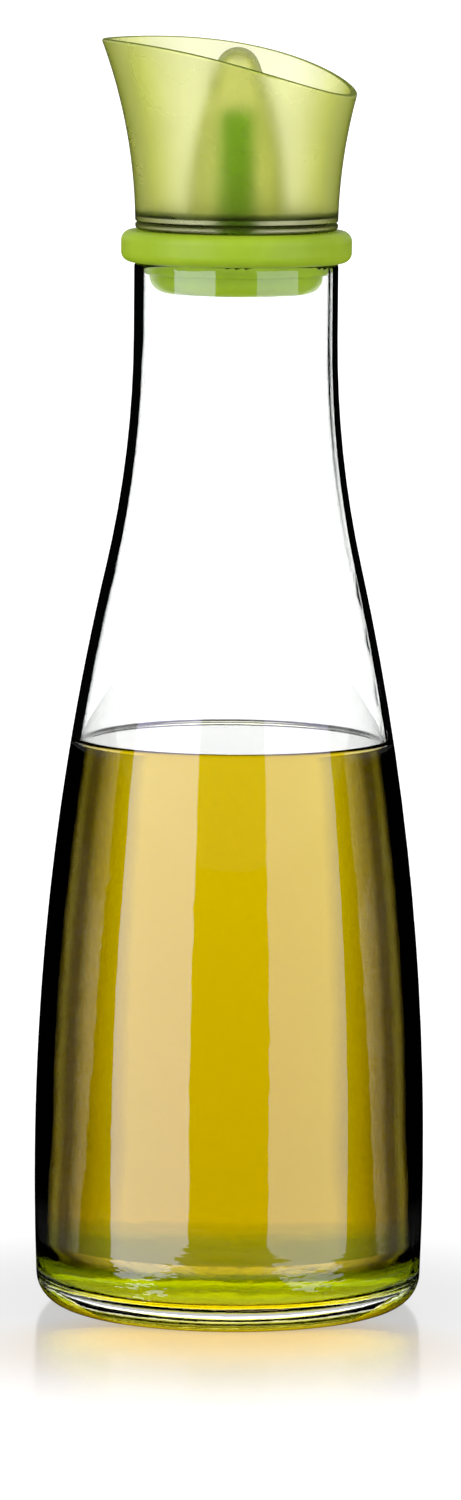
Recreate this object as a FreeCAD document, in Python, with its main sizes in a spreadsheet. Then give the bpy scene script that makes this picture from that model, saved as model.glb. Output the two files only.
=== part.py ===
import FreeCAD, Part
import math
import os
import Sketcher

# An oil cruet: a blown glass bottle, the oil in it, a silicone stopper and a flared pouring cup.
# Millimetres, +Z up, with the origin at the middle of the foot. The pour lip points to -X.

document = FreeCAD.newDocument("oil_cruet")

# ---------------------------------------------------------------------------------------------
# The driving dimensions, each in a named cell of the sheet
# ---------------------------------------------------------------------------------------------

DIMENSIONS = {
    # glass bottle, outside
    "bottle_height": 206.5,
    "belly_diameter": 77.0,
    "belly_height": 28.0,        # height of the widest ring
    "shoulder_arc": 203.0,       # hollow curve from the body into the neck
    "neck_diameter": 40.0,
    "neck_length": 14.5,         # straight stretch below the mouth
    "heel_arc": 6.3,             # rounding between the body and the foot
    "foot_hollow_diameter": 58.0,
    "foot_hollow_depth": 1.4,    # the foot stands on a ring around this shallow hollow
    # glass bottle, inside
    "glass_wall": 1.9,
    "glass_base": 5.0,
    "inner_heel_arc": 9.0,
    # oil
    "oil_level": 112.3,
    "oil_clearance": 0.1,
    "oil_climb": 1.8,            # how far the oil climbs the glass at its edge
    "oil_climb_width": 2.8,
    # stopper
    "flange_overhang": 2.6,      # how far the flange stands out past the neck
    "flange_thickness": 6.2,
    "flange_rounding": 2.0,
    "seal_clearance": 0.05,
    "seal_depth": 2.3,
    "seal_rounding": 0.8,
    "seal_step": 1.05,           # how far the sealing bead stands out from the plug
    "plug_depth": 6.0,
    "plug_rounding": 3.4,
    "tube_base_diameter": 7.8,
    "tube_top_diameter": 6.8,
    "tube_length": 23.5,
    "tube_rounding": 1.2,
    "tube_bore": 3.6,
    # pouring cup
    "cup_foot_inset": 0.15,      # the cup's foot is this much inside the line of the neck
    "cup_foot_rounding": 1.0,
    "cup_groove_height": 1.6,    # a fine groove runs round the cup this far above its foot
    "cup_groove_depth": 0.35,
    "cup_floor": 2.7,
    "cup_floor_rounding": 1.5,
    "cup_flare_arc": 104.0,      # the wall starts upright and curls outwards along this arc
    "cup_wall": 1.4,
    "cup_height": 37.2,          # from the cup's foot to the top of the pour lip
    "rim_arc": 110.0,            # the rim is sliced off along this arch, seen from the side
    "rim_crest_reach": 24.0,     # how far the top of that arch lies towards the lip
    "rim_rounding": 0.4,
    "tube_clearance": 0.15,
    # spout inside the cup
    "spout_diameter": 19.6,
    "spout_height": 35.7,        # from the cup's foot to the crown of the spout
    "spout_flank_arc": 82.0,
    "spout_wall": 0.9,
    "mouth_width": 8.0,
    "mouth_height": 26.0,        # from the cup's floor to the top of the mouth
}

sheet = document.addObject("Spreadsheet::Sheet", "Sizes")
for row, (name, number) in enumerate(DIMENSIONS.items(), start=1):
    sheet.set(f"A{row}", name)
    sheet.set(f"B{row}", str(number))
    sheet.setAlias(f"B{row}", name)
document.recompute()


class Length:
    """A length that carries its number and the sheet formula it is bound to."""

    def __init__(self, number, formula):
        self.number = number
        self.formula = formula

    def __add__(self, other):
        return Length(self.number + other.number, f"({self.formula} + {other.formula})")

    def __sub__(self, other):
        return Length(self.number - other.number, f"({self.formula} - {other.formula})")

    def __mul__(self, other):
        return Length(self.number * other.number, f"({self.formula} * {other.formula})")

    def __truediv__(self, other):
        if isinstance(other, Length):
            return Length(self.number / other.number, f"({self.formula} / {other.formula})")
        return Length(self.number / other, f"({self.formula} / {other})")

    def __neg__(self):
        return Length(-self.number, f"(-{self.formula})")


def size(name):
    """A length straight from its cell."""
    return Length(sheet.get(name), f"Sizes.{name}")


# ---------------------------------------------------------------------------------------------
# Sketching helpers
# ---------------------------------------------------------------------------------------------

START, END, CENTRE = 1, 2, 3      # points of a line or an arc
ORIGIN, UPRIGHT_AXIS = -1, -2     # the sketch's own origin and its vertical axis


def new_body(name):
    body = document.addObject("PartDesign::Body", name)
    body.Label = name
    return body


def new_sketch(body, plane_role, name):
    """An empty sketch on one of the body's own origin planes."""
    plane = next(item for item in body.Origin.OriginFeatures if item.Role == plane_role)
    sketch = body.newObject("Sketcher::SketchObject", name)
    sketch.AttachmentSupport = [(plane, "")]
    sketch.MapMode = "FlatFace"
    return sketch


def add_line(sketch, start, end):
    return sketch.addGeometry(Part.LineSegment(FreeCAD.Vector(*start, 0), FreeCAD.Vector(*end, 0)))


def add_arc(sketch, centre, radius, first_angle, last_angle):
    """An arc drawn anticlockwise, angles in radians."""
    circle = Part.Circle(FreeCAD.Vector(*centre, 0), FreeCAD.Vector(0, 0, 1), radius)
    return sketch.addGeometry(Part.ArcOfCircle(circle, first_angle, last_angle))


def start_of(sketch, arc):
    """Where an arc that is already in the sketch begins."""
    point = sketch.Geometry[arc].StartPoint
    return point.x, point.y


def bind(sketch, kind, where, length, name):
    """One dimension of a sketch, tied to the sheet."""
    index = sketch.addConstraint(Sketcher.Constraint(kind, *where, length.number))
    sketch.renameConstraint(index, name)
    sketch.setExpression(f"Constraints.{name}", length.formula)


def pin(sketch, geometry, point, across, up, name):
    """Fix a point by its distances from the origin; no distance across means on the axis."""
    if across is None:
        sketch.addConstraint(Sketcher.Constraint("PointOnObject", geometry, point, UPRIGHT_AXIS))
    else:
        bind(sketch, "DistanceX", (ORIGIN, START, geometry, point), across, f"{name}_across")
    bind(sketch, "DistanceY", (ORIGIN, START, geometry, point), up, f"{name}_up")


def meet(sketch, first, first_point, second, second_point, smooth=False):
    kind = "Tangent" if smooth else "Coincident"
    sketch.addConstraint(Sketcher.Constraint(kind, first, first_point, second, second_point))


def draw_outline(sketch, corners):
    """A closed outline of straight sides through corners given as {name: (across, up)}."""
    names = list(corners)
    places = [(across.number if across else 0.0, up.number) for across, up in corners.values()]
    sides = [add_line(sketch, places[i], places[(i + 1) % len(places)]) for i in range(len(places))]
    for i, name in enumerate(names):
        meet(sketch, sides[i - 1], END, sides[i], START)
        pin(sketch, sides[i], START, *corners[name], name)
    return sides


def revolve(body, sketch, name):
    feature = body.newObject("PartDesign::Revolution", name)
    feature.Profile = sketch
    feature.ReferenceAxis = (sketch, ["V_Axis"])
    feature.Angle = 360.0
    document.recompute()
    return feature


def ring_edges(feature, radius, height):
    """Names of the round edges about the Z axis at a radius and a height."""
    names = []
    for number, edge in enumerate(feature.Shape.Edges, start=1):
        place = edge.Vertexes[0].Point
        level = abs(edge.BoundBox.ZMax - edge.BoundBox.ZMin) < 1e-4
        if (level and abs(place.z - height.number) < 1e-4
                and abs(math.hypot(place.x, place.y) - radius.number) < 1e-3):
            names.append(f"Edge{number}")
    return names


def fillet(body, feature, edge_names, radius, name):
    rounding = body.newObject("PartDesign::Fillet", name)
    rounding.Base = (feature, edge_names)
    rounding.setExpression("Radius", radius.formula)
    document.recompute()
    return rounding


# ---------------------------------------------------------------------------------------------
# The side line that the bottle's outside, its inside and the oil share
# ---------------------------------------------------------------------------------------------

belly_radius = size("belly_diameter") / 2
neck_radius = size("neck_diameter") / 2
neck_start = size("bottle_height") - size("neck_length")

# One bulging belly arc runs into one hollow shoulder arc, upright at the belly's widest ring and
# at the start of the neck. Those two places and the shoulder's radius fix the belly's radius.
taper_rise = neck_start - size("belly_height")
taper_step = belly_radius - neck_radius
centre_spacing = (taper_rise * taper_rise + taper_step * taper_step) / (taper_step + taper_step)
belly_arc_radius = centre_spacing - size("shoulder_arc")
belly_centre_across = belly_radius - belly_arc_radius
shoulder_centre_across = neck_radius + size("shoulder_arc")
shoulder_lean = math.asin(taper_rise.number / centre_spacing.number)
no_inset = Length(0.0, "0")


def draw_lower_side(sketch, name, inset, heel, floor, top_angle):
    """The heel and belly arcs, set in from the bottle's outside; returns both arcs."""
    belly = belly_arc_radius - inset
    reach = belly.number - heel.number
    drop = size("belly_height").number - (floor + heel).number
    heel_across = belly_centre_across.number + math.sqrt(reach ** 2 - drop ** 2)
    heel_angle = -math.asin(drop / reach)
    heel_arc = add_arc(sketch, (heel_across, (floor + heel).number), heel.number,
                       -math.pi / 2, heel_angle)
    belly_centre = (belly_centre_across.number, size("belly_height").number)
    belly_arc = add_arc(sketch, belly_centre, belly.number, heel_angle, top_angle)
    bind(sketch, "Radius", (heel_arc,), heel, f"{name}_heel_arc")
    bind(sketch, "Radius", (belly_arc,), belly, f"{name}_belly_arc")
    pin(sketch, belly_arc, CENTRE, belly_centre_across, size("belly_height"), f"{name}_belly_centre")
    meet(sketch, heel_arc, END, belly_arc, START, smooth=True)
    return heel_arc, belly_arc


def draw_upper_side(sketch, name, inset, belly_arc, top):
    """The shoulder arc and the straight neck above a belly arc; returns the neck's line."""
    shoulder = size("shoulder_arc") + inset
    neck = (neck_radius - inset).number
    shoulder_arc = add_arc(sketch, (shoulder_centre_across.number, neck_start.number),
                           shoulder.number, math.pi, math.pi + shoulder_lean)
    neck_line = add_line(sketch, (neck, neck_start.number), (neck, top))
    bind(sketch, "Radius", (shoulder_arc,), shoulder, f"{name}_shoulder_arc")
    bind(sketch, "DistanceX", (ORIGIN, START, shoulder_arc, CENTRE), shoulder_centre_across,
         f"{name}_shoulder_centre")
    meet(sketch, belly_arc, END, shoulder_arc, END, smooth=True)
    meet(sketch, shoulder_arc, START, neck_line, START, smooth=True)
    sketch.addConstraint(Sketcher.Constraint("Vertical", neck_line))
    return neck_line


# ---------------------------------------------------------------------------------------------
# Bottle: one wall of clear glass, turned about its axis, with a fire-polished mouth
# ---------------------------------------------------------------------------------------------

def make_bottle():
    body = new_body("bottle")
    sketch = new_sketch(body, "XZ_Plane", "glass_section")
    wall = size("glass_wall")
    mouth_start = size("bottle_height") - wall / 2

    ground = no_inset
    heel, belly = draw_lower_side(sketch, "outer", no_inset, size("heel_arc"), ground,
                                  shoulder_lean)
    outer_neck = draw_upper_side(sketch, "outer", no_inset, belly, mouth_start.number)
    inner_heel, inner_belly = draw_lower_side(sketch, "inner", wall, size("inner_heel_arc"),
                                              size("glass_base"), shoulder_lean)
    inner_neck = draw_upper_side(sketch, "inner", wall, inner_belly, mouth_start.number)

    mouth_across = (neck_radius - wall / 2).number
    mouth = add_arc(sketch, (mouth_across, mouth_start.number), wall.number / 2, 0, math.pi)
    meet(sketch, outer_neck, END, mouth, START, smooth=True)
    meet(sketch, mouth, END, inner_neck, END, smooth=True)
    bind(sketch, "DistanceY", (ORIGIN, START, mouth, CENTRE), mouth_start, "mouth_height")

    # the foot: a flat standing ring around a shallow domed hollow
    hollow_radius = size("foot_hollow_diameter") / 2
    depth = size("foot_hollow_depth")
    foot_ring = add_line(sketch, (hollow_radius.number, 0), start_of(sketch, heel))
    dome_radius = (hollow_radius.number ** 2 + depth.number ** 2) / (2 * depth.number)
    dome_angle = math.asin(hollow_radius.number / dome_radius)
    dome = add_arc(sketch, (0, depth.number - dome_radius), dome_radius,
                   math.pi / 2 - dome_angle, math.pi / 2)
    meet(sketch, foot_ring, END, heel, START, smooth=True)
    meet(sketch, foot_ring, START, dome, START)
    sketch.addConstraint(Sketcher.Constraint("Horizontal", foot_ring))
    bind(sketch, "DistanceX", (ORIGIN, START, foot_ring, START), hollow_radius, "hollow_radius")
    sketch.addConstraint(Sketcher.Constraint("PointOnObject", foot_ring, START, -1))
    sketch.addConstraint(Sketcher.Constraint("PointOnObject", dome, CENTRE, UPRIGHT_AXIS))
    pin(sketch, dome, END, None, depth, "hollow")

    # the inside floor and the stretch of the axis through the base
    floor = add_line(sketch, (0, size("glass_base").number), start_of(sketch, inner_heel))
    middle = add_line(sketch, (0, depth.number), (0, size("glass_base").number))
    meet(sketch, floor, END, inner_heel, START, smooth=True)
    sketch.addConstraint(Sketcher.Constraint("Horizontal", floor))
    meet(sketch, middle, END, floor, START)
    meet(sketch, middle, START, dome, END)
    pin(sketch, floor, START, None, size("glass_base"), "floor")

    revolve(body, sketch, "glass")
    return body


# ---------------------------------------------------------------------------------------------
# Oil: fills the bottle to its level and curls up where it meets the glass
# ---------------------------------------------------------------------------------------------

def make_oil():
    body = new_body("oil")
    sketch = new_sketch(body, "XZ_Plane", "oil_section")
    inset = size("glass_wall") + size("oil_clearance")
    floor = size("glass_base") + size("oil_clearance")
    heel = size("inner_heel_arc") - size("oil_clearance")
    level = size("oil_level")
    edge_height = level + size("oil_climb")

    belly = (belly_arc_radius - inset).number
    rise = (edge_height - size("belly_height")).number
    heel_arc, belly_arc = draw_lower_side(sketch, "oil", inset, heel, floor,
                                          math.asin(rise / belly))
    edge_across = belly_centre_across.number + math.sqrt(belly ** 2 - rise ** 2)
    climb = size("oil_climb").number
    width = size("oil_climb_width").number
    curl_radius = (width ** 2 + climb ** 2) / (2 * climb)
    curl_start = edge_across - width
    curl = add_arc(sketch, (curl_start, level.number + curl_radius), curl_radius,
                   -math.pi / 2, -math.pi / 2 + math.asin(width / curl_radius))
    surface = add_line(sketch, (0, level.number), (curl_start, level.number))
    middle = add_line(sketch, (0, floor.number), (0, level.number))
    bottom = add_line(sketch, (0, floor.number), start_of(sketch, heel_arc))

    meet(sketch, curl, END, belly_arc, END)
    meet(sketch, surface, END, curl, START, smooth=True)
    meet(sketch, middle, END, surface, START)
    meet(sketch, middle, START, bottom, START)
    meet(sketch, bottom, END, heel_arc, START, smooth=True)
    sketch.addConstraint(Sketcher.Constraint("Horizontal", surface))
    sketch.addConstraint(Sketcher.Constraint("Horizontal", bottom))
    bind(sketch, "DistanceY", (curl, START, curl, END), size("oil_climb"), "climb")
    bind(sketch, "DistanceX", (curl, START, curl, END), size("oil_climb_width"), "climb_width")
    pin(sketch, bottom, START, None, floor, "bottom")
    pin(sketch, surface, START, None, level, "surface")

    revolve(body, sketch, "oil_fill")
    return body


# ---------------------------------------------------------------------------------------------
# Stopper: one silicone moulding, a flange on the mouth, a plug with a sealing bead in the neck
# and a pouring tube that stands up through the cup
# ---------------------------------------------------------------------------------------------

cup_foot_height = size("bottle_height") + size("flange_thickness")


def make_stopper():
    body = new_body("stopper")
    sketch = new_sketch(body, "XZ_Plane", "stopper_section")
    bore = size("tube_bore") / 2
    seal = neck_radius - size("glass_wall") - size("seal_clearance")
    plug = seal - size("seal_step")
    flange = neck_radius + size("flange_overhang")
    tube_base = size("tube_base_diameter") / 2
    tube_top = size("tube_top_diameter") / 2
    mouth = size("bottle_height")
    plug_bottom = mouth - size("plug_depth")
    seal_bottom = mouth - size("seal_depth")
    tube_end = cup_foot_height + size("tube_length")
    draw_outline(sketch, {
        "bore_bottom": (bore, plug_bottom),
        "plug_bottom": (plug, plug_bottom),
        "plug_top": (plug, seal_bottom),
        "seal_bottom": (seal, seal_bottom),
        "seal_top": (seal, mouth),
        "flange_bottom": (flange, mouth),
        "flange_top": (flange, cup_foot_height),
        "tube_foot": (tube_base, cup_foot_height),
        "tube_end": (tube_top, tube_end),
        "bore_top": (bore, tube_end),
    })
    turned = revolve(body, sketch, "stopper_turned")

    flange_edges = ring_edges(turned, flange, mouth) + ring_edges(turned, flange, cup_foot_height)
    turned = fillet(body, turned, flange_edges, size("flange_rounding"), "flange_edges")
    plug_edges = ring_edges(turned, plug, plug_bottom)
    turned = fillet(body, turned, plug_edges, size("plug_rounding"), "plug_edge")
    seal_edges = ring_edges(turned, seal, seal_bottom)
    turned = fillet(body, turned, seal_edges, size("seal_rounding"), "seal_edge")
    tube_edges = ring_edges(turned, tube_top, tube_end)
    fillet(body, turned, tube_edges, size("tube_rounding"), "tube_edge")
    return body


# ---------------------------------------------------------------------------------------------
# Pourer: one moulding of translucent plastic, a flared cup with an arched rim that rises to the
# pour lip, and a bell-shaped spout on its floor with its mouth towards the lip
# ---------------------------------------------------------------------------------------------

cup_floor_height = cup_foot_height + size("cup_floor")
cup_foot_radius = neck_radius - size("cup_foot_inset")
spout_radius = size("spout_diameter") / 2


def draw_cup_section(sketch):
    """The flared wall and the floor with its hole for the tube, before the rim is cut."""
    hole = (size("tube_base_diameter") / 2) + size("tube_clearance")
    flare = size("cup_flare_arc")
    inner_flare = flare + size("cup_wall")
    flare_centre_across = cup_foot_radius + flare
    blank_top = cup_foot_height + size("cup_height") + size("cup_wall")
    centre = (flare_centre_across.number, cup_foot_height.number)

    outer_angle = math.asin((blank_top - cup_foot_height).number / flare.number)
    inner_angle = math.asin((blank_top - cup_foot_height).number / inner_flare.number)
    floor_angle = math.asin(size("cup_floor").number / inner_flare.number)
    outer = add_arc(sketch, centre, flare.number, math.pi - outer_angle, math.pi)
    inner = add_arc(sketch, centre, inner_flare.number, math.pi - inner_angle,
                    math.pi - floor_angle)
    outer_top = centre[0] - flare.number * math.cos(outer_angle)
    inner_top = centre[0] - inner_flare.number * math.cos(inner_angle)
    inner_foot = centre[0] - inner_flare.number * math.cos(floor_angle)

    foot = add_line(sketch, (hole.number, centre[1]), (cup_foot_radius.number, centre[1]))
    top = add_line(sketch, (outer_top, blank_top.number), (inner_top, blank_top.number))
    floor = add_line(sketch, (inner_foot, cup_floor_height.number),
                     (hole.number, cup_floor_height.number))
    hole_side = add_line(sketch, (hole.number, cup_floor_height.number), (hole.number, centre[1]))

    meet(sketch, foot, END, outer, END)
    meet(sketch, outer, START, top, START)
    meet(sketch, top, END, inner, START)
    meet(sketch, inner, END, floor, START)
    meet(sketch, floor, END, hole_side, START)
    meet(sketch, hole_side, END, foot, START)
    meet(sketch, outer, CENTRE, inner, CENTRE)
    for level_line in (foot, top, floor):
        sketch.addConstraint(Sketcher.Constraint("Horizontal", level_line))
    sketch.addConstraint(Sketcher.Constraint("Vertical", hole_side))
    pin(sketch, outer, CENTRE, flare_centre_across, cup_foot_height, "flare_centre")
    bind(sketch, "Radius", (outer,), flare, "flare_arc")
    bind(sketch, "Radius", (inner,), inner_flare, "inner_flare_arc")
    bind(sketch, "DistanceY", (ORIGIN, START, outer, START), blank_top, "blank_top")
    bind(sketch, "DistanceY", (ORIGIN, START, floor, END), cup_floor_height, "floor_height")
    pin(sketch, foot, START, hole, cup_foot_height, "hole")


def draw_foot_groove(sketch):
    """A small notch, as wide as it is deep on either side of its point."""
    depth = size("cup_groove_depth")
    middle = cup_foot_height + size("cup_groove_height")
    draw_outline(sketch, {
        "point": (cup_foot_radius - depth, middle),
        "lower_edge": (cup_foot_radius + depth, middle - depth - depth),
        "upper_edge": (cup_foot_radius + depth, middle + depth + depth),
    })


def draw_rim_cut(sketch):
    """Everything above the arch that the rim follows."""
    arc_radius = size("rim_arc")
    reach = size("rim_crest_reach")
    crest = cup_foot_height + size("cup_height")
    side = cup_foot_radius + cup_foot_radius
    lid = crest + size("cup_floor") + size("cup_wall")
    centre = (-reach.number, (crest - arc_radius).number)
    lip_angle = math.acos((-side.number - centre[0]) / arc_radius.number)
    back_angle = math.acos((side.number - centre[0]) / arc_radius.number)
    arch = add_arc(sketch, centre, arc_radius.number, back_angle, lip_angle)
    back = (side.number, centre[1] + arc_radius.number * math.sin(back_angle))
    lip = (-side.number, centre[1] + arc_radius.number * math.sin(lip_angle))
    back_side = add_line(sketch, back, (side.number, lid.number))
    lid_side = add_line(sketch, (side.number, lid.number), (-side.number, lid.number))
    lip_side = add_line(sketch, (-side.number, lid.number), lip)
    meet(sketch, arch, START, back_side, START)
    meet(sketch, back_side, END, lid_side, START)
    meet(sketch, lid_side, END, lip_side, START)
    meet(sketch, lip_side, END, arch, END)
    for upright in (back_side, lip_side):
        sketch.addConstraint(Sketcher.Constraint("Vertical", upright))
    bind(sketch, "Radius", (arch,), arc_radius, "rim_arc")
    pin(sketch, arch, CENTRE, -reach, crest - arc_radius, "rim_centre")
    pin(sketch, lid_side, START, side, lid, "lid_back")
    pin(sketch, lid_side, END, -side, lid, "lid_lip")


def draw_spout_side(sketch, name, inset):
    """Flank and crown of the bell, set in from its outside; returns both arcs."""
    flank_across = spout_radius - size("spout_flank_arc")
    flank = size("spout_flank_arc") - inset
    crown_top = cup_foot_height + size("spout_height") - inset
    # the crown's radius follows from touching the flank with its own centre on the axis
    rise = (crown_top - cup_floor_height).number
    across = flank_across.number
    crown = (flank.number ** 2 - across ** 2 - rise ** 2) / (2 * (flank.number - rise))
    lean = math.atan2(rise - crown, -across)
    flank_arc = add_arc(sketch, (across, cup_floor_height.number), flank.number, 0, lean)
    crown_arc = add_arc(sketch, (0, crown_top.number - crown), crown, lean, math.pi / 2)
    meet(sketch, flank_arc, END, crown_arc, START, smooth=True)
    sketch.addConstraint(Sketcher.Constraint("PointOnObject", crown_arc, CENTRE, UPRIGHT_AXIS))
    bind(sketch, "Radius", (flank_arc,), flank, f"{name}_flank_arc")
    pin(sketch, flank_arc, CENTRE, flank_across, cup_floor_height, f"{name}_flank_centre")
    bind(sketch, "DistanceY", (ORIGIN, START, flank_arc, START), cup_floor_height, f"{name}_foot")
    pin(sketch, crown_arc, END, None, crown_top, f"{name}_crown")
    return flank_arc, crown_arc


def make_pourer():
    body = new_body("pourer")

    section = new_sketch(body, "XZ_Plane", "cup_section")
    draw_cup_section(section)
    cup = revolve(body, section, "cup_turned")
    foot_edges = ring_edges(cup, cup_foot_radius, cup_foot_height)
    cup = fillet(body, cup, foot_edges, size("cup_foot_rounding"), "cup_foot_edge")
    inner_flare = size("cup_flare_arc") + size("cup_wall")
    flare_centre = (cup_foot_radius + size("cup_flare_arc")).number
    floor_reach = flare_centre - math.sqrt(inner_flare.number ** 2 - size("cup_floor").number ** 2)
    floor_edges = ring_edges(cup, Length(floor_reach, ""), cup_floor_height)
    cup = fillet(body, cup, floor_edges, size("cup_floor_rounding"), "cup_floor_edge")

    before = cup.Shape.Volume
    groove_sketch = new_sketch(body, "XZ_Plane", "foot_groove")
    draw_foot_groove(groove_sketch)
    groove = body.newObject("PartDesign::Groove", "foot_groove_turned")
    groove.Profile = groove_sketch
    groove.ReferenceAxis = (groove_sketch, ["V_Axis"])
    groove.Angle = 360.0
    document.recompute()
    if groove.Shape.Volume > before - 5.0:
        raise RuntimeError("the groove took nothing off the cup")
    cup = groove

    # the arched slice that leaves the rim high at the lip and low at the back
    before = cup.Shape.Volume
    rim_sketch = new_sketch(body, "XZ_Plane", "rim_cut")
    draw_rim_cut(rim_sketch)
    rim = body.newObject("PartDesign::Pocket", "rim_cut_off")
    rim.Profile = rim_sketch
    rim.SideType = "Symmetric"
    rim.setExpression("Length", (size("neck_diameter") + size("neck_diameter")).formula)
    document.recompute()
    if rim.Shape.Volume > before - 1.0:
        raise RuntimeError("the rim cut took nothing off the cup")
    rim_edges = []
    for number, edge in enumerate(rim.Shape.Edges, start=1):
        if edge.BoundBox.ZMax > cup_floor_height.number + 5 and edge.BoundBox.YLength > 10:
            rim_edges.append(f"Edge{number}")
    fillet(body, rim, rim_edges, size("rim_rounding"), "rim_edges")

    # the bell-shaped spout, a thin wall turned about the axis and standing on the floor
    bell_sketch = new_sketch(body, "XZ_Plane", "spout_section")
    flank, crown = draw_spout_side(bell_sketch, "outer", no_inset)
    inner_flank, inner_crown = draw_spout_side(bell_sketch, "inner", size("spout_wall"))
    foot = add_line(bell_sketch, start_of(bell_sketch, inner_flank), start_of(bell_sketch, flank))
    crown_top = (cup_foot_height + size("spout_height")).number
    tip = add_line(bell_sketch, (0, crown_top), (0, crown_top - size("spout_wall").number))
    meet(bell_sketch, foot, START, inner_flank, START)
    meet(bell_sketch, foot, END, flank, START)
    meet(bell_sketch, tip, START, crown, END)
    meet(bell_sketch, tip, END, inner_crown, END)
    bell = revolve(body, bell_sketch, "spout_turned")

    # the mouth of the spout: an arched window towards the lip
    before = bell.Shape.Volume
    mouth_sketch = new_sketch(body, "YZ_Plane", "mouth_cut")
    half = size("mouth_width") / 2
    spring = cup_floor_height + size("mouth_height") - half
    sill = cup_floor_height
    arch = add_arc(mouth_sketch, (0, spring.number), half.number, 0, math.pi)
    sides = [add_line(mouth_sketch, (-half.number, spring.number), (-half.number, sill.number)),
             add_line(mouth_sketch, (-half.number, sill.number), (half.number, sill.number)),
             add_line(mouth_sketch, (half.number, sill.number), (half.number, spring.number))]
    meet(mouth_sketch, arch, END, sides[0], START, smooth=True)
    meet(mouth_sketch, sides[0], END, sides[1], START)
    meet(mouth_sketch, sides[1], END, sides[2], START)
    meet(mouth_sketch, sides[2], END, arch, START, smooth=True)
    mouth_sketch.addConstraint(Sketcher.Constraint("Vertical", sides[0]))
    mouth_sketch.addConstraint(Sketcher.Constraint("Horizontal", sides[1]))
    mouth_sketch.addConstraint(Sketcher.Constraint("Vertical", sides[2]))
    pin(mouth_sketch, arch, CENTRE, None, spring, "spring")
    bind(mouth_sketch, "Radius", (arch,), half, "arch")
    bind(mouth_sketch, "DistanceY", (ORIGIN, START, sides[1], START), sill, "sill")
    mouth = body.newObject("PartDesign::Pocket", "mouth")
    mouth.Profile = mouth_sketch
    mouth.SideType = "One side"
    mouth.Reversed = False
    mouth.setExpression("Length", "Sizes.spout_diameter / 2 + Sizes.spout_wall")
    document.recompute()
    if mouth.Shape.Volume > before - 1.0:
        raise RuntimeError("the mouth cut took nothing off the spout")
    return body


# ---------------------------------------------------------------------------------------------
# Build every piece, check it and write it
# ---------------------------------------------------------------------------------------------

pieces = [make_bottle(), make_oil(), make_stopper(), make_pourer()]
document.recompute()

for item in document.Objects:
    if "Invalid" in item.State or "Error" in item.State:
        raise RuntimeError(f"{item.Name} failed: {item.State}")
    if item.TypeId == "Sketcher::SketchObject" and not item.FullyConstrained:
        raise RuntimeError(f"{item.Name} is not fully constrained")

os.makedirs("parts", exist_ok=True)
for piece in pieces:
    shape = piece.Shape
    if shape.isNull() or not shape.isValid() or len(shape.Solids) != 1:
        raise RuntimeError(f"{piece.Label} is not one valid solid")
    shape.exportStep(f"parts/{piece.Label}.step")
    box = shape.BoundBox
    print(f"{piece.Label}: {shape.Volume / 1000:.2f} ml, "
          f"x {box.XMin:.2f}..{box.XMax:.2f}, z {box.ZMin:.2f}..{box.ZMax:.2f}")
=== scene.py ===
import math

import bmesh
import bpy
from mathutils import Matrix, Vector


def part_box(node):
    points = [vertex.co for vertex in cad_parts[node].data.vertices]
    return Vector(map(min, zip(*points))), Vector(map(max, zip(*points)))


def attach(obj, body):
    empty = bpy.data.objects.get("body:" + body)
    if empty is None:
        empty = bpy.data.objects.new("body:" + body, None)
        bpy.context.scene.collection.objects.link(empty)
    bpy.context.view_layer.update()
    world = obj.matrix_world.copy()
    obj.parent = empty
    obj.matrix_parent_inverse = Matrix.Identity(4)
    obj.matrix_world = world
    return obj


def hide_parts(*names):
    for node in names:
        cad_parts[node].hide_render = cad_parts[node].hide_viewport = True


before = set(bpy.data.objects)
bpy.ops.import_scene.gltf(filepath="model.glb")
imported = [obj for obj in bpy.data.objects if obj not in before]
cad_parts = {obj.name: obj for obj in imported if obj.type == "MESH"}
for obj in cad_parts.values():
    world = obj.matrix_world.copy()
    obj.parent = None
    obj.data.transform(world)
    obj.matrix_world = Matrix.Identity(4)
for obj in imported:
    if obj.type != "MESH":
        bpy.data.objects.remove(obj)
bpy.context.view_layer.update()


# ==== Bottle ====
# Clear soda-lime glass, blown in one piece, with a fire-polished mouth and a shallow hollow under
# the foot. Blowing leaves slow waves in the wall, strongest where the thick foot cooled last.

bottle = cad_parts["bottle"]
wave_depth = 0.00006               # of the slow waves in the glass, and in the oil that lies on it
foot_wave_reach = 0.045            # the foot's own waves die out at this height
foot_wave_squash = (1.0, 1.0, 2.6)  # and they lie flat, longer round the foot than they are high
painted_foot_height = 0.014          # up to here the foot's colour carries painted reflection and painted shade
wall_tints = [(0.0, (0.975, 0.988, 0.98)), (1.0, (0.99, 0.995, 0.99))]
# From the table up: a painted yellow reflection of the oil above, then clear, then a painted dark green
# band that stands for the shaded bottom of the oil, deeper than the green of thick glass alone.
foot_painted_reflection_tints = [(0.0, (1.0, 0.90, 0.03)), (0.19, (1.0, 0.90, 0.03)), (0.25, (0.97, 0.98, 1.0)),
                    (0.41, (0.97, 0.98, 1.0)), (0.48, (0.50, 0.68, 0.40)),
                    (0.76, (0.55, 0.72, 0.50)), (1.0, (1.0, 1.0, 1.0))]


def feed(tree, node, sources):
    """Give each named input another node's output, or a plain value."""
    for socket, source in sources.items():
        if isinstance(source, bpy.types.NodeSocket):
            tree.links.new(source, node.inputs[socket])
        else:
            node.inputs[socket].default_value = source
    return node


def add_node(tree, kind, sources, **settings):
    """A shader node of one kind, with its settings made first and then its inputs fed."""
    node = tree.nodes.new("ShaderNode" + kind)
    for setting, value in settings.items():
        setattr(node, setting, value)
    return feed(tree, node, sources)


def add_sum(tree, operation, first, second):
    """The answer of one operation on two numbers."""
    return add_node(tree, "Math", {0: first, 1: second}, operation=operation).outputs["Value"]


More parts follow.
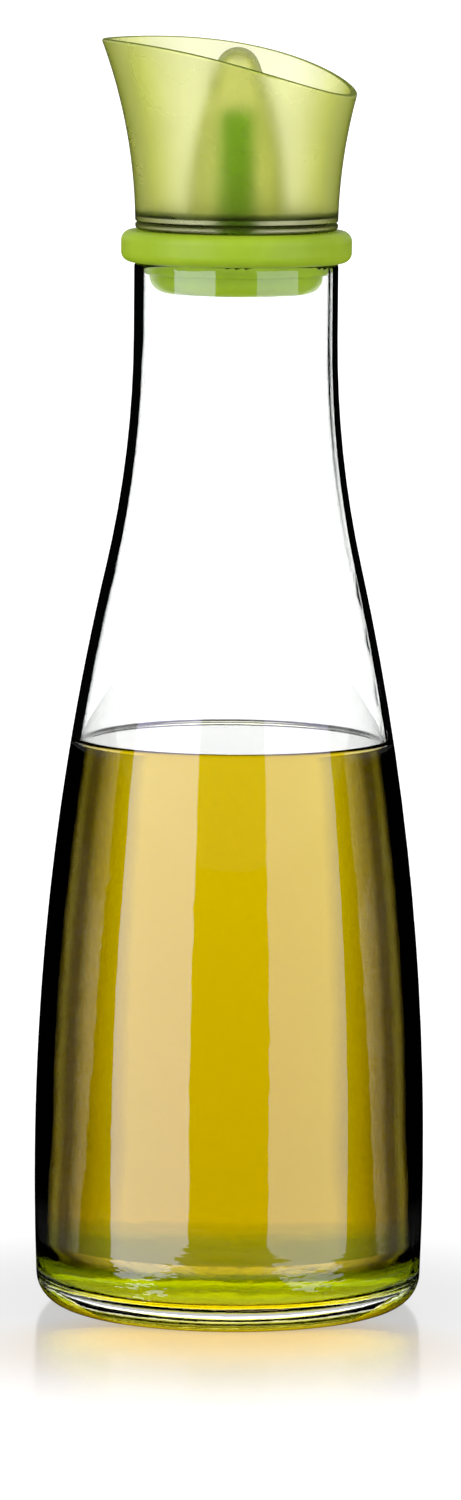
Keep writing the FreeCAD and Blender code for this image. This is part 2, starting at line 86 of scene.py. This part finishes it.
def add_span(tree, value, old_span, new_span, curve="LINEAR"):
    """Carry a value from one span of numbers to another, and hold it at the ends."""
    sources = {"Value": value, "From Min": old_span[0], "From Max": old_span[1],
               "To Min": new_span[0], "To Max": new_span[1]}
    return add_node(tree, "MapRange", sources, interpolation_type=curve).outputs["Result"]


def add_tints(tree, value, tints):
    """A colour that changes with a value, and reaches each tint at its own place."""
    ramp = add_node(tree, "ValToRGB", {"Fac": value})
    while len(ramp.color_ramp.elements) < len(tints):
        ramp.color_ramp.elements.new(0.5)
    for element, (where, colour) in zip(ramp.color_ramp.elements, tints):
        element.position = where
        element.color = (*colour, 1)
    return ramp.outputs["Color"]


def add_blend(tree, share, first, second, blend="MIX"):
    """Two colours mixed by a share, or multiplied."""
    sources = {"Factor": share, "A": first, "B": second}
    return add_node(tree, "Mix", sources, data_type="RGBA", blend_type=blend).outputs["Result"]


def add_place(tree):
    """A point's place on the object."""
    return add_node(tree, "TexCoord", {}).outputs["Object"]


def add_height(tree, place):
    """The upward part of a place or a direction."""
    return add_node(tree, "SeparateXYZ", {"Vector": place}).outputs["Z"]


def new_group(name, inputs, outputs):
    """A node group with named inputs and outputs: the tree, what it is given and its result."""
    group = bpy.data.node_groups.new(name, "ShaderNodeTree")
    for direction, sockets in (("INPUT", inputs), ("OUTPUT", outputs)):
        for socket in sockets:
            group.interface.new_socket(socket, in_out=direction, socket_type="NodeSocketFloat")
    return group, group.nodes.new("NodeGroupInput").outputs, group.nodes.new("NodeGroupOutput")


def new_material(name):
    """A material, its node tree and its Principled BSDF."""
    material = bpy.data.materials.new(name)
    material.use_nodes = True
    return material, material.node_tree, material.node_tree.nodes["Principled BSDF"]


def blown_waves():
    """Shared by the glass and the oil that lies against it: a height for their bump."""
    waves, given, result = new_group(
        "blown_waves", ["Wall Scale", "Foot Scale", "Foot Strength", "Foot Reach"], ["Height"])
    place = add_place(waves)
    wall = add_node(waves, "TexNoise",
                    {"Vector": place, "Scale": given["Wall Scale"], "Detail": 1.0})
    lying = add_node(waves, "VectorMath", {0: place, 1: foot_wave_squash}, operation="MULTIPLY")
    foot = add_node(waves, "TexNoise", {"Vector": lying.outputs["Vector"],
                                        "Scale": given["Foot Scale"], "Detail": 3.0})
    fade = add_span(waves, add_height(waves, place), (0.0, given["Foot Reach"]), (1.0, 0.0),
                    "SMOOTHSTEP")
    foot_share = add_sum(waves, "MULTIPLY", fade, given["Foot Strength"])
    foot_height = add_sum(waves, "MULTIPLY", foot.outputs["Fac"], foot_share)
    feed(waves, result, {"Height": add_sum(waves, "ADD", wall.outputs["Fac"], foot_height)})
    return waves


blown_wave_group = blown_waves()

clear_glass, glass_tree, glass_skin = new_material("clear_bottle_glass")
glass_waves = add_node(glass_tree, "Group", {}, node_tree=blown_wave_group)
feed(glass_tree, glass_waves, {"Wall Scale": 38.0, "Foot Scale": 120.0, "Foot Strength": 0.5,
                               "Foot Reach": foot_wave_reach})
glass_bump = add_node(glass_tree, "Bump", {"Strength": 1.0, "Distance": wave_depth,
                                           "Height": glass_waves.outputs["Height"]})
glass_height = add_height(glass_tree, add_place(glass_tree))
glass_in_foot = add_span(glass_tree, glass_height, (0.0, painted_foot_height), (0.0, 1.0))
glass_wall_colour = add_tints(glass_tree, glass_waves.outputs["Height"], wall_tints)
# Painted reflection and painted shade in the foot's colour, banded by height.
glass_foot_painted_reflection = add_tints(glass_tree, glass_in_foot, foot_painted_reflection_tints)
glass_colour = add_blend(glass_tree, 1.0, glass_wall_colour, glass_foot_painted_reflection, "MULTIPLY")
feed(glass_tree, glass_skin, {"Base Color": glass_colour, "Roughness": 0.0, "IOR": 1.52,
                              "Transmission Weight": 1.0, "Normal": glass_bump.outputs["Normal"]})
bottle.data.materials.clear()
bottle.data.materials.append(clear_glass)


# ==== Oil ====
# Clear yellow-green cooking oil, poured in up to a level under the shoulder. It wets the glass and
# climbs it at the edge, so its skin is carried a little way into the wall and no air gap shows.

oil_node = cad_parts["oil"]
oil_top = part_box("oil")[1].z
oil_reach = 0.0003                 # how far the oil's skin lies outside its own solid
oil_curl_share = 0.35              # how much of the solid's own climb at the glass is drawn
oil_steps = 192                    # corners round the axis
same_place = 1e-6                  # places nearer to each other than this count as one
near_the_top = 0.9                 # the bottom's places are all lower than this share of the height


def turned(name, outline, steps):
    """A closed solid turned about the bottle's axis; the outline runs from pole to pole."""
    shape = bmesh.new()
    poles = [shape.verts.new((0, 0, outline[0][1])), shape.verts.new((0, 0, outline[-1][1]))]
    rings = []
    for radius, height in outline[1:-1]:
        ring = []
        for step in range(steps):
            angle = 2 * math.pi * step / steps
            ring.append(shape.verts.new((radius * math.cos(angle), radius * math.sin(angle), height)))
        rings.append(ring)
    for step in range(steps):
        after = (step + 1) % steps
        shape.faces.new((poles[0], rings[0][after], rings[0][step]))
        shape.faces.new((poles[1], rings[-1][step], rings[-1][after]))
        for low, high in zip(rings, rings[1:]):
            shape.faces.new((low[step], low[after], high[after], high[step]))
    bmesh.ops.recalc_face_normals(shape, faces=shape.faces)
    for face in shape.faces:
        face.smooth = True
    mesh = bpy.data.meshes.new(name)
    shape.to_mesh(mesh)
    shape.free()
    piece = bpy.data.objects.new(name, mesh)
    bpy.context.scene.collection.objects.link(piece)
    return piece


# The solid's own outline: up the side from the bottom's edge, then down the curl to the level.
places = sorted({(round(math.hypot(v.co.x, v.co.y), 6), round(v.co.z, 6))
                 for v in oil_node.data.vertices}, key=lambda place: place[1])
rim_radius = max(place[0] for place in places if place[1] > oil_top - same_place)
level_radius, oil_level = min(place for place in places if place[1] > oil_top * near_the_top)
side = [place for place in places
        if place[1] < oil_level - same_place or place[0] >= rim_radius - same_place]
curl = [place for place in places
        if place[1] >= oil_level - same_place and place[0] < rim_radius - same_place]
curl.sort(key=lambda place: -place[0])
side_out = []
for index, (radius, height) in enumerate(side):
    before = side[max(index - 1, 0)]
    after = side[min(index + 1, len(side) - 1)]
    along = Vector((after[0] - before[0], after[1] - before[1])).normalized()
    side_out.append((radius + along.y * oil_reach, height - along.x * oil_reach))
side_out = [(radius, min(height, oil_level + (height - oil_level) * oil_curl_share))
            for radius, height in side_out]
curl = [(rim_radius - (rim_radius - radius) * oil_curl_share,
         oil_level + (height - oil_level) * oil_curl_share) for radius, height in curl]
level_radius = rim_radius - (rim_radius - level_radius) * oil_curl_share
oil_bottom = side_out[0][1]
oil_outline = [(0, oil_bottom), (side_out[0][0] * 0.5, oil_bottom)] + side_out + curl
oil_outline += [(level_radius * 0.98, oil_level), (level_radius * 0.5, oil_level), (0, oil_level)]
oil = turned("oil_fill", oil_outline, oil_steps)

# Painted shade: along its curved side, where the wall bends the view far round to the dark room, the
# oil's colour is painted olive and then dark by slant, with one thin painted bright line before the
# glass. The places are the slant of the side.
oil_painted_edge_shade_tints = [(0.0, (1.0, 1.0, 1.0)), (0.068, (1.0, 1.0, 1.0)), (0.084, (0.62, 0.62, 0.6)),
                  (0.096, (0.42, 0.43, 0.4)), (0.109, (0.35, 0.34, 0.3)),
                  (0.124, (0.25, 0.23, 0.2)), (0.135, (0.17, 0.15, 0.15)),
                  (0.148, (0.11, 0.095, 0.1)), (0.161, (0.05, 0.042, 0.05)),
                  (0.172, (0.013, 0.010, 0.02)), (0.188, (0.014, 0.011, 0.02)),
                  (0.198, (0.045, 0.042, 0.02)), (0.206, (0.060, 0.056, 0.02)),
                  (0.214, (0.010, 0.008, 0.005)), (0.221, (0.0, 0.0, 0.0))]
oil_foot_span = (0.012, 0.036)     # heights over which the side turns in towards the foot
oil_heel_span = (0.007, 0.0125)    # heights of the round heel under it
oil_lying_span = (0.35, 0.8)       # from here on the skin lies flat and has no painted edge shade
oil_curl_from = oil_level - 0.0003

oil_stuff, oil_tree, oil_skin = new_material("yellow_green_oil")
oil_depth = add_node(oil_tree, "VolumeAbsorption", {"Color": (0.970, 0.949, 0.0, 1), "Density": 250.0})
oil_slant = add_node(oil_tree, "LayerWeight", {"Blend": 0.5}).outputs["Facing"]
oil_height = add_height(oil_tree, add_place(oil_tree))
oil_foot_turn = add_span(oil_tree, oil_height, oil_foot_span, (-0.02, 0.0))
oil_heel_turn = add_span(oil_tree, oil_height, oil_heel_span, (-0.3, 0.0), "SMOOTHSTEP")
oil_side_slant = add_sum(oil_tree, "ADD", oil_slant, oil_foot_turn)
oil_edge_place = add_sum(oil_tree, "ADD", oil_side_slant, oil_heel_turn)
oil_facts = add_node(oil_tree, "NewGeometry", {})
oil_upright = add_height(oil_tree, oil_facts.outputs["True Normal"])
oil_flatness = add_node(oil_tree, "Math", {0: oil_upright}, operation="ABSOLUTE").outputs["Value"]
oil_lying = add_span(oil_tree, oil_flatness, oil_lying_span, (0.0, 1.0))
oil_on_curl = add_sum(oil_tree, "GREATER_THAN", oil_height, oil_curl_from)
oil_free_of_painted_shade = add_sum(oil_tree, "MAXIMUM", oil_lying, oil_on_curl)
# Painted shade: the oil's colour darkened towards its edges by slant.
oil_painted_edge_shade = add_tints(oil_tree, oil_edge_place, oil_painted_edge_shade_tints)
oil_colour = add_blend(oil_tree, oil_free_of_painted_shade, oil_painted_edge_shade, (1, 1, 1, 1))
oil_waves = add_node(oil_tree, "Group", {}, node_tree=blown_wave_group)
feed(oil_tree, oil_waves, {"Wall Scale": 30.0, "Foot Scale": 150.0, "Foot Strength": 0.9,
                           "Foot Reach": foot_wave_reach * 0.7})
oil_bump = add_node(oil_tree, "Bump", {"Strength": 1.0, "Distance": wave_depth,
                                       "Height": oil_waves.outputs["Height"]})
feed(oil_tree, oil_skin, {"Base Color": oil_colour, "Roughness": 0.0, "IOR": 1.47,
                          "Transmission Weight": 1.0, "Specular Tint": (0.15, 0.15, 0.15, 1),
                          "Normal": oil_bump.outputs["Normal"]})
feed(oil_tree, oil_tree.nodes["Material Output"], {"Volume": oil_depth.outputs["Volume"]})
oil.data.materials.append(oil_stuff)
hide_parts("oil")
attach(oil, "root")


# ==== Stopper ====
# Lime silicone, moulded in one piece: the flange that lies on the mouth, the plug with its
# sealing bead, and the tube that carries oil up into the spout. Its skin is finely matt.

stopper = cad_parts["stopper"]
silicone_tints = [(0.3, (0.235, 0.36, 0.008)), (0.7, (0.29, 0.43, 0.014))]
# Painted light: the tube's own colour made greener for the light that passes through it.
tube_painted_light_tint = (0.20, 0.50, 0.012, 1)
tube_span = (0.2130, 0.2150)       # heights over which the plug gives way to the tube


def moulded_grain():
    """Shared by the silicone and the plastic: mottling, a roughness and a height for the bump."""
    grain, given, result = new_group(
        "moulded_grain", ["Grain Scale", "Cloud Scale", "Smoothest", "Roughest"],
        ["Cloud", "Roughness", "Height"])
    place = add_place(grain)
    cloud = add_node(grain, "TexNoise",
                     {"Vector": place, "Scale": given["Cloud Scale"], "Detail": 3.0})
    fine = add_node(grain, "TexNoise",
                    {"Vector": place, "Scale": given["Grain Scale"], "Detail": 2.0})
    roughness = add_span(grain, cloud.outputs["Fac"], (0.3, 0.7),
                         (given["Smoothest"], given["Roughest"]))
    feed(grain, result, {"Cloud": cloud.outputs["Fac"], "Roughness": roughness,
                         "Height": fine.outputs["Fac"]})
    return grain


moulded_grain_group = moulded_grain()

lime_silicone, silicone_tree, silicone_skin = new_material("lime_silicone")
silicone_grain = add_node(silicone_tree, "Group", {}, node_tree=moulded_grain_group)
feed(silicone_tree, silicone_grain, {"Grain Scale": 2600.0, "Cloud Scale": 90.0,
                                     "Smoothest": 0.38, "Roughest": 0.52})
silicone_mottle = add_tints(silicone_tree, silicone_grain.outputs["Cloud"], silicone_tints)
# The thin tube takes more of the light through it; that light is painted into its colour, which is
# greener than the flange's.
silicone_height = add_height(silicone_tree, add_place(silicone_tree))
silicone_on_tube = add_span(silicone_tree, silicone_height, tube_span, (0.0, 1.0))
silicone_colour = add_blend(silicone_tree, silicone_on_tube, silicone_mottle, tube_painted_light_tint)
silicone_bump = add_node(silicone_tree, "Bump", {"Strength": 0.5, "Distance": 0.00004,
                                                 "Height": silicone_grain.outputs["Height"]})
feed(silicone_tree, silicone_skin, {"Base Color": silicone_colour, "IOR": 1.41,
                                    "Roughness": silicone_grain.outputs["Roughness"],
                                    "Specular IOR Level": 0.3,
                                    "Subsurface Weight": 0.3,
                                    "Subsurface Radius": (1.0, 1.2, 0.3),
                                    "Subsurface Scale": 0.0015,
                                    "Normal": silicone_bump.outputs["Normal"]})
stopper.data.materials.clear()
stopper.data.materials.append(lime_silicone)


# ==== Pourer ====
# Translucent green plastic, one moulding: the flared cup with its arched rim, and the bell-shaped
# spout that stands on its floor over the tube. The satin skin blurs what lies behind the wall.

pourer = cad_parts["pourer"]
# The more the wall slants away, the more plastic the light goes through, and the deeper the green;
# towards the edges the colour is also darkened near to black as painted shade.
plastic_slant_and_painted_shade_tints = [(0.12, (0.91, 0.92, 0.62)), (0.4, (0.73, 0.78, 0.21)),
                 (0.75, (0.36, 0.42, 0.03)), (0.93, (0.08, 0.11, 0.005))]
# Painted shade: the upward faces of the rim's outer edge are coloured dark olive.
rim_painted_shade_tint = (0.10, 0.14, 0.004, 1)
rim_roughness = 0.85               # the cut edge of the rim is rougher than the walls
rim_slopes = (0.35, 0.7)           # how far upward a face of the rim looks
rim_inner_radius = 0.0185          # the spout inside this keeps the wall's colour and roughness, without the rim's painted shade

green_plastic, plastic_tree, plastic_skin = new_material("translucent_green_plastic")
plastic_grain = add_node(plastic_tree, "Group", {}, node_tree=moulded_grain_group)
feed(plastic_tree, plastic_grain, {"Grain Scale": 700.0, "Cloud Scale": 70.0,
                                   "Smoothest": 0.24, "Roughest": 0.34})
plastic_slant = add_node(plastic_tree, "LayerWeight", {"Blend": 0.5}).outputs["Facing"]
plastic_wall_colour = add_tints(plastic_tree, plastic_slant, plastic_slant_and_painted_shade_tints)
plastic_facts = add_node(plastic_tree, "NewGeometry", {})
plastic_upright = add_height(plastic_tree, plastic_facts.outputs["True Normal"])
plastic_edge = add_span(plastic_tree, plastic_upright, rim_slopes, (0.0, 1.0))
plastic_flat = add_node(plastic_tree, "VectorMath", {0: add_place(plastic_tree), 1: (1, 1, 0)},
                        operation="MULTIPLY")
plastic_reach = add_node(plastic_tree, "VectorMath", {0: plastic_flat.outputs["Vector"]},
                         operation="LENGTH")
plastic_outside = add_sum(plastic_tree, "GREATER_THAN", plastic_reach.outputs["Value"],
                          rim_inner_radius)
plastic_rim = add_sum(plastic_tree, "MULTIPLY", plastic_edge, plastic_outside)
# The rim's painted shade goes onto the wall's colour here.
plastic_colour = add_blend(plastic_tree, plastic_rim, plastic_wall_colour, rim_painted_shade_tint)
plastic_roughness = add_node(plastic_tree, "Mix", {"Factor": plastic_rim,
                                                   "A": plastic_grain.outputs["Roughness"],
                                                   "B": rim_roughness})
plastic_bump = add_node(plastic_tree, "Bump", {"Strength": 0.4, "Distance": 0.00001,
                                               "Height": plastic_grain.outputs["Height"]})
feed(plastic_tree, plastic_skin, {"Base Color": plastic_colour, "IOR": 1.5,
                                  "Roughness": plastic_roughness.outputs["Result"],
                                  "Transmission Weight": 1.0,
                                  "Specular Tint": (0.60, 0.75, 0.10, 1),
                                  "Normal": plastic_bump.outputs["Normal"]})
pourer.data.materials.clear()
pourer.data.materials.append(green_plastic)


# ==== Table, surround and light ====
# A glossy white table that runs into a lit white surround, as for glassware: what is seen straight
# through the glass is white, and what the glass turns back is the dark of the room.

front_turn = math.radians(15)      # the side of the bottle that faces the viewer, from -Y to +X
room_dark = 0.001                  # what glass and oil turn back, where nothing below lights it
room_bounce = 3.2                  # what the oil's curl and the glass of the foot turn back
dull_in_air = 0.48                 # share of the room's light on a dull skin in the open
dull_in_glass = 2.0                # and on the plug, to make up for what the neck keeps from it
surround_strength = 0.64           # of the surround, beside the table's own 1


def room_light():
    """How bright the surround is for a ray, from the way that the ray has come."""
    room, given, result = new_group(
        "room_light", ["Reflections", "Refractions", "Sharp", "Scatterings", "Behind", "Above"],
        ["Level"])

    def more(source, limit):
        return add_sum(room, "GREATER_THAN", given[source], limit)

    def less(source, limit):
        return add_sum(room, "LESS_THAN", given[source], limit)

    def joined(operation, tests):
        answer = tests[0]
        for test in tests[1:]:
            answer = add_sum(room, operation, answer, test)
        return answer

    def all_of(*tests):
        return joined("MULTIPLY", tests)

    def any_of(*tests):
        return joined("MAXIMUM", tests)

    # Bright: what comes straight through, what a dull skin behind glass gathers, and the table's shine.
    straight = less("Reflections", 0.5)
    behind_glass = more("Refractions", 0.5)
    on_a_dull_skin = all_of(less("Sharp", 0.5), behind_glass)
    off_the_table = all_of(less("Reflections", 1.5), less("Refractions", 0.5),
                           less("Sharp", 0.5), more("Above", 0.02))
    # Brighter still: what the oil's curl and the thick glass of the foot turn back from above.
    off_the_oil = all_of(less("Reflections", 1.5), more("Refractions", 3.5),
                         any_of(more("Behind", 0.0), more("Above", 0.3)))
    along_the_foot = all_of(more("Above", 0.1), more("Refractions", 1.5),
                            any_of(less("Refractions", 2.5), more("Reflections", 1.5)))
    turned_back = add_span(room, any_of(off_the_oil, along_the_foot), (0.0, 1.0),
                           (room_dark, room_bounce))
    sent = add_span(room, any_of(straight, on_a_dull_skin, off_the_table), (0.0, 1.0),
                    (turned_back, 1.0))
    dull_share = add_span(room, behind_glass, (0.0, 1.0), (dull_in_air, dull_in_glass))
    share = add_span(room, more("Scatterings", 0.5), (0.0, 1.0), (1.0, dull_share))
    feed(room, result, {"Level": add_sum(room, "MULTIPLY", sent, share)})
    return room


room_light_group = room_light()


def add_room_light(tree, place):
    """The room's light in one node tree, fed by that tree's own light paths and a place."""
    paths = add_node(tree, "LightPath", {}).outputs
    away = add_node(tree, "VectorMath", {0: place}, operation="NORMALIZE")
    backward = (-math.sin(front_turn), math.cos(front_turn), 0)
    behind = add_node(tree, "VectorMath", {0: away.outputs["Vector"], 1: backward},
                      operation="DOT_PRODUCT")
    room = add_node(tree, "Group", {}, node_tree=room_light_group)
    feed(tree, room, {"Reflections": paths["Glossy Depth"], "Refractions": paths["Transmission Depth"],
                      "Sharp": paths["Is Singular Ray"], "Scatterings": paths["Diffuse Depth"],
                      "Behind": behind.outputs["Value"], "Above": add_height(tree, place)})
    return room.outputs["Level"]


table_half = 40.0
table_gloss_span = (0.03, 0.13)    # the polish fades out over this distance from the bottle's axis
table_share_span = (0.03, 0.4)     # and the table grows a little brighter over this distance
table_shares = (1.14, 1.32)
table_front_span = (0.45, 0.95)    # how far round to the front the warm light reaches
table_under_span = (0.07, 0.14)    # nearer than this the table is always lit
table_warm_tints = [(0.038, (0.97, 0.77, 0.50)), (0.061, (0.93, 0.83, 0.72)),
                    (0.09, (0.95, 0.92, 0.89)), (0.14, (1.0, 1.0, 1.0))]
table_mesh = bpy.data.meshes.new("white_table")
table_mesh.from_pydata([(-table_half, -table_half, 0), (table_half, -table_half, 0),
                        (table_half, table_half, 0), (-table_half, table_half, 0)], [],
                       [(0, 1, 2, 3)])
table = bpy.data.objects.new("white_table", table_mesh)
bpy.context.scene.collection.objects.link(table)
table.visible_glossy = False
table_top = bpy.data.materials.new("white_table_top")
table_top.use_nodes = True
table_tree = table_top.node_tree
table_tree.nodes.clear()
table_place = add_place(table_tree)
table_reach = add_node(table_tree, "VectorMath", {0: table_place}, operation="LENGTH").outputs["Value"]
table_gloss = add_span(table_tree, table_reach, table_gloss_span, (0.5, 0.0), "SMOOTHSTEP")
table_share = add_span(table_tree, table_reach, table_share_span, table_shares, "SMOOTHSTEP")
table_under = add_span(table_tree, table_reach, table_under_span, (1.0, 0.0))
table_lit = add_sum(table_tree, "MAXIMUM", add_room_light(table_tree, table_place), table_under)
table_level = add_sum(table_tree, "MULTIPLY", table_lit, table_share)
# Light from behind comes through the oil and warms the table in front of the foot.
table_away = add_node(table_tree, "VectorMath", {0: table_place}, operation="NORMALIZE")
table_forward = (math.sin(front_turn), -math.cos(front_turn), 0)
table_front = add_node(table_tree, "VectorMath", {0: table_away.outputs["Vector"], 1: table_forward},
                       operation="DOT_PRODUCT")
table_in_front = add_span(table_tree, table_front.outputs["Value"], table_front_span, (0.0, 1.0),
                          "SMOOTHSTEP")
table_warmth = add_tints(table_tree, table_reach, table_warm_tints)
table_colour = add_blend(table_tree, table_in_front, (1, 1, 1, 1), table_warmth)
table_light = add_blend(table_tree, 1.0, table_colour, table_level, "MULTIPLY")
table_glow = add_node(table_tree, "Emission", {"Color": table_light, "Strength": 1.0})
table_shine = add_node(table_tree, "BsdfGlossy", {"Roughness": 0.14})
table_mix = add_node(table_tree, "MixShader", {0: table_gloss, 1: table_glow.outputs["Emission"],
                                               2: table_shine.outputs["BSDF"]})
add_node(table_tree, "OutputMaterial", {"Surface": table_mix.outputs["Shader"]})
table_mesh.materials.append(table_top)

surround = bpy.data.worlds.new("white_surround")
bpy.context.scene.world = surround
surround.use_nodes = True
surround_tree = surround.node_tree
surround_tree.nodes.clear()
surround_place = add_node(surround_tree, "TexCoord", {}).outputs["Generated"]
surround_light = add_room_light(surround_tree, surround_place)
surround_glow = add_node(surround_tree, "Background", {"Color": surround_light,
                                                   "Strength": surround_strength})
add_node(surround_tree, "OutputWorld", {"Surface": surround_glow.outputs["Background"]})

# Two tall softboxes stand upright in front, left and right, and reach below the table's edge.
softbox_turn = math.radians(48.5)
softbox_distance = 1.2
softbox_middle = 0.685
softbox_width = 1.13
softbox_height = 1.93
softbox_colour = (0.68, 0.64, 1.0)
for side_name, turn, power in (("left", front_turn - softbox_turn, 38),
                               ("right", front_turn + softbox_turn, 24)):
    lamp = bpy.data.lights.new(f"softbox_{side_name}", "AREA")
    lamp.shape = "RECTANGLE"
    lamp.size = softbox_width
    lamp.size_y = softbox_height
    lamp.energy = power
    lamp.color = softbox_colour
    softbox = bpy.data.objects.new(f"softbox_{side_name}", lamp)
    bpy.context.scene.collection.objects.link(softbox)
    softbox.location = (math.sin(turn) * softbox_distance, -math.cos(turn) * softbox_distance,
                        softbox_middle)
    inwards = Vector((0, 0, softbox_middle)) - softbox.location
    softbox.rotation_euler = inwards.to_track_quat("-Z", "Y").to_euler()
    softbox.visible_camera = False
    softbox.visible_transmission = False


# ==== Camera ====
# A long lens a metre and a half away and a little above the bottle, so that the rim and the oil's
# surface show as narrow ellipses. It stands round towards +X by the front's own turn and leans a
# little.

camera_lens = bpy.data.cameras.new("camera")
camera_lens.sensor_width = 36
camera_lens.sensor_fit = "AUTO"
camera_lens.lens = 193.8
camera_lens.clip_end = 100
camera = bpy.data.objects.new("camera", camera_lens)
bpy.context.scene.collection.objects.link(camera)
camera_pitch = math.radians(6.845)
camera_distance = 1.58
camera_roll = math.radians(0.48)
camera_aim_height = 0.1103
camera_aim_left = 0.00035
camera_side = Vector((math.sin(front_turn), -math.cos(front_turn), 0))
camera_right = Vector((math.cos(front_turn), math.sin(front_turn), 0))
camera_aim = Vector((0, 0, camera_aim_height)) - camera_right * camera_aim_left
camera.location = camera_aim + camera_side * camera_distance
camera.location.z += math.tan(camera_pitch) * camera_distance
camera_look = (camera_aim - camera.location).to_track_quat("-Z", "Y").to_matrix()
camera.rotation_euler = (camera_look @ Matrix.Rotation(camera_roll, 3, "Z")).to_euler()
bpy.context.scene.camera = camera

scene = bpy.context.scene
scene.view_settings.view_transform = "Standard"
# Light crosses the glass and the oil many times before it leaves.
scene.cycles.max_bounces = 32
scene.cycles.glossy_bounces = 16
scene.cycles.transmission_bounces = 32
scene.cycles.transparent_max_bounces = 16
